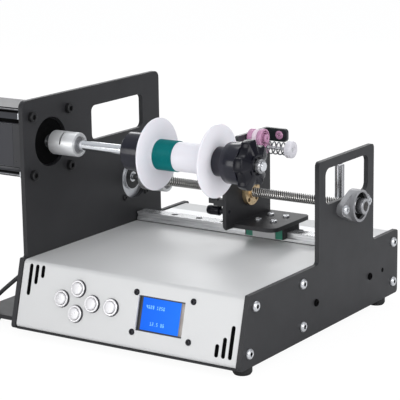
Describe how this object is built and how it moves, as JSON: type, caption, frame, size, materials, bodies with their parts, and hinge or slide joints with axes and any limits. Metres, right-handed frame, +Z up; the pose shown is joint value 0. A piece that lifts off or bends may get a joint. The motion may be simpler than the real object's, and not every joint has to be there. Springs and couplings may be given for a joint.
{
  "type": "wire coil winding machine",
  "caption": "Bench winding machine with a motor spindle and clamped bobbin, a traversing wire guide on a lead screw and rail, and a sheet metal base with buttons and a display.",
  "frame": {"origin": "middle of the footprint without the motor cable, on the surface that the feet stand on", "axes": "+X along the spindle from its motor to the star knob, +Y from the front to the rear, +Z up"},
  "size_m": [0.3054, 0.251, 0.1865],
  "materials": {
    "black_powder_coat": "fine textured satin",
    "silver_powder_coat": "satin",
    "bare_sheet": "brushed",
    "foot_rubber": "matt",
    "screw_steel": "polished",
    "polished_steel": "polished",
    "motor_black": "satin",
    "stack_black": "satin",
    "motor_silver": "cast",
    "black_screws": "black oxide",
    "bearing_metal": "cast, bead blasted",
    "rail_steel": "ground",
    "button_steel": "polished",
    "display_black": "matt",
    "display_blue": "backlit",
    "board_green": "lacquered",
    "driver_black": "anodised",
    "inlet_black": "satin",
    "cable_black": "satin",
    "coupling_alu": "turned",
    "lead_steel": "rolled thread",
    "hub_black": "satin",
    "bobbin_white": "satin",
    "thread_teal": "satin",
    "knob_black": "fine grained",
    "nut_brass": "turned",
    "block_steel": "ground",
    "cap_green": "satin",
    "arm_black": "satin",
    "ceramic_pink": "polished ceramic",
    "spring_steel": "polished",
    "nut_white": "satin"
  },
  "bodies": {
    "frame": {"left_plate": "black_powder_coat", "right_plate": "black_powder_coat", "front_cover": "silver_powder_coat", "deck_plate": "bare_sheet", "rear_cover": "silver_powder_coat", "bottom_plate": "bare_sheet", "outrigger_plate": "black_powder_coat", "rubber_feet": "foot_rubber", "side_screws": "screw_steel", "guide_post": "polished_steel", "main_motor_stack": "stack_black", "main_motor_bells": "motor_black", "traverse_motor_stack": "stack_black", "traverse_motor_bells": "motor_silver", "motor_screws": "black_screws", "flange_bearing": "bearing_metal", "bearing_bolts": "screw_steel", "guide_rail": "rail_steel", "button_bezels": "button_steel", "display_frame": "display_black", "display_glass": "display_blue", "control_board": "board_green", "motor_drivers": "driver_black", "power_inlet": "inlet_black", "motor_cable": "cable_black", "cable_glands": "foot_rubber"},
    "rocker": {"power_switch": "inlet_black"},
    "spindle": {"motor_shaft": "polished_steel", "spindle_coupling": "coupling_alu", "spindle_shaft": "polished_steel", "left_hub": "hub_black", "bobbin": "bobbin_white", "winding": "thread_teal", "right_hub": "hub_black", "lock_nut": "screw_steel"},
    "star_knob": {"star_knob": "knob_black"},
    "lead_screw": {"traverse_shaft": "polished_steel", "lead_coupling": "coupling_alu", "lead_screw": "lead_steel", "bearing_insert": "rail_steel"},
    "carriage": {"carriage_bracket": "black_powder_coat", "lead_nut": "nut_brass", "guide_block": "block_steel", "block_caps": "cap_green", "bracket_screws": "screw_steel", "tensioner_arm": "arm_black", "tension_screw": "spring_steel", "tension_discs": "ceramic_pink", "tension_spring": "spring_steel", "guide_eyelet": "ceramic_pink", "travel_bumper": "foot_rubber", "wire_block": "black_screws"},
    "guide_pulley": {"guide_pulley": "ceramic_pink"},
    "thumb_nut": {"thumb_nut": "nut_white"},
    "clamp_knob": {"clamp_knob": "knob_black"},
    "button_top": {"button_top": "button_steel"},
    "button_left": {"button_left": "button_steel"},
    "button_right": {"button_right": "button_steel"},
    "button_bottom": {"button_bottom": "button_steel"},
    "button_far": {"button_far": "button_steel"}
  },
  "joints": [
    {"name": "spindle_turn", "type": "hinge", "parent": "frame", "child": "spindle", "pos_m": [0, -0.07196, 0.1493], "axis": [1, 0, 0], "continuous": true},
    {"name": "star_knob_turn", "type": "hinge", "parent": "spindle", "child": "star_knob", "pos_m": [0, -0.07196, 0.1493], "axis": [1, 0, 0], "range_deg": [0, 720]},
    {"name": "carriage_slide", "type": "slide", "parent": "frame", "child": "carriage", "axis": [1, 0, 0], "range_m": [-0.065, 0.045]},
    {"name": "lead_screw_turn", "type": "hinge", "parent": "frame", "child": "lead_screw", "pos_m": [0, 0.04254, 0.0987], "axis": [1, 0, 0], "range_deg": [-2030, 2930]},
    {"name": "pulley_turn", "type": "hinge", "parent": "carriage", "child": "guide_pulley", "pos_m": [0.0541, 0.03954, 0.1456], "axis": [1, 0, 0], "continuous": true},
    {"name": "thumb_nut_turn", "type": "hinge", "parent": "carriage", "child": "thumb_nut", "pos_m": [0.0793, 0.04954, 0.1362], "axis": [1, 0, 0], "range_deg": [-360, 720]},
    {"name": "clamp_knob_turn", "type": "hinge", "parent": "carriage", "child": "clamp_knob", "pos_m": [0.0273, 0.01154, 0.0875], "axis": [-1, 0, 0], "range_deg": [0, 720]},
    {"name": "switch_rock", "type": "hinge", "parent": "frame", "child": "rocker", "pos_m": [0.0113, 0.12154, 0.0335], "axis": [1, 0, 0], "range_deg": [-16, 0]},
    {"name": "button_top_press", "type": "slide", "parent": "frame", "child": "button_top", "axis": [0, 0.9648, -0.2631], "range_m": [0, 0.001], "stiffness_N_per_m": 200, "springref_m": -0.001},
    {"name": "button_left_press", "type": "slide", "parent": "frame", "child": "button_left", "axis": [0, 0.9648, -0.2631], "range_m": [0, 0.001], "stiffness_N_per_m": 200, "springref_m": -0.001},
    {"name": "button_right_press", "type": "slide", "parent": "frame", "child": "button_right", "axis": [0, 0.9648, -0.2631], "range_m": [0, 0.001], "stiffness_N_per_m": 200, "springref_m": -0.001},
    {"name": "button_bottom_press", "type": "slide", "parent": "frame", "child": "button_bottom", "axis": [0, 0.9648, -0.2631], "range_m": [0, 0.001], "stiffness_N_per_m": 200, "springref_m": -0.001},
    {"name": "button_far_press", "type": "slide", "parent": "frame", "child": "button_far", "axis": [0, 0.9648, -0.2631], "range_m": [0, 0.001], "stiffness_N_per_m": 200, "springref_m": -0.001}
  ],
  "couplings": [
    {"joint": "lead_screw_turn", "follows": "carriage_slide", "rad_per_m": -785.4}
  ]
}
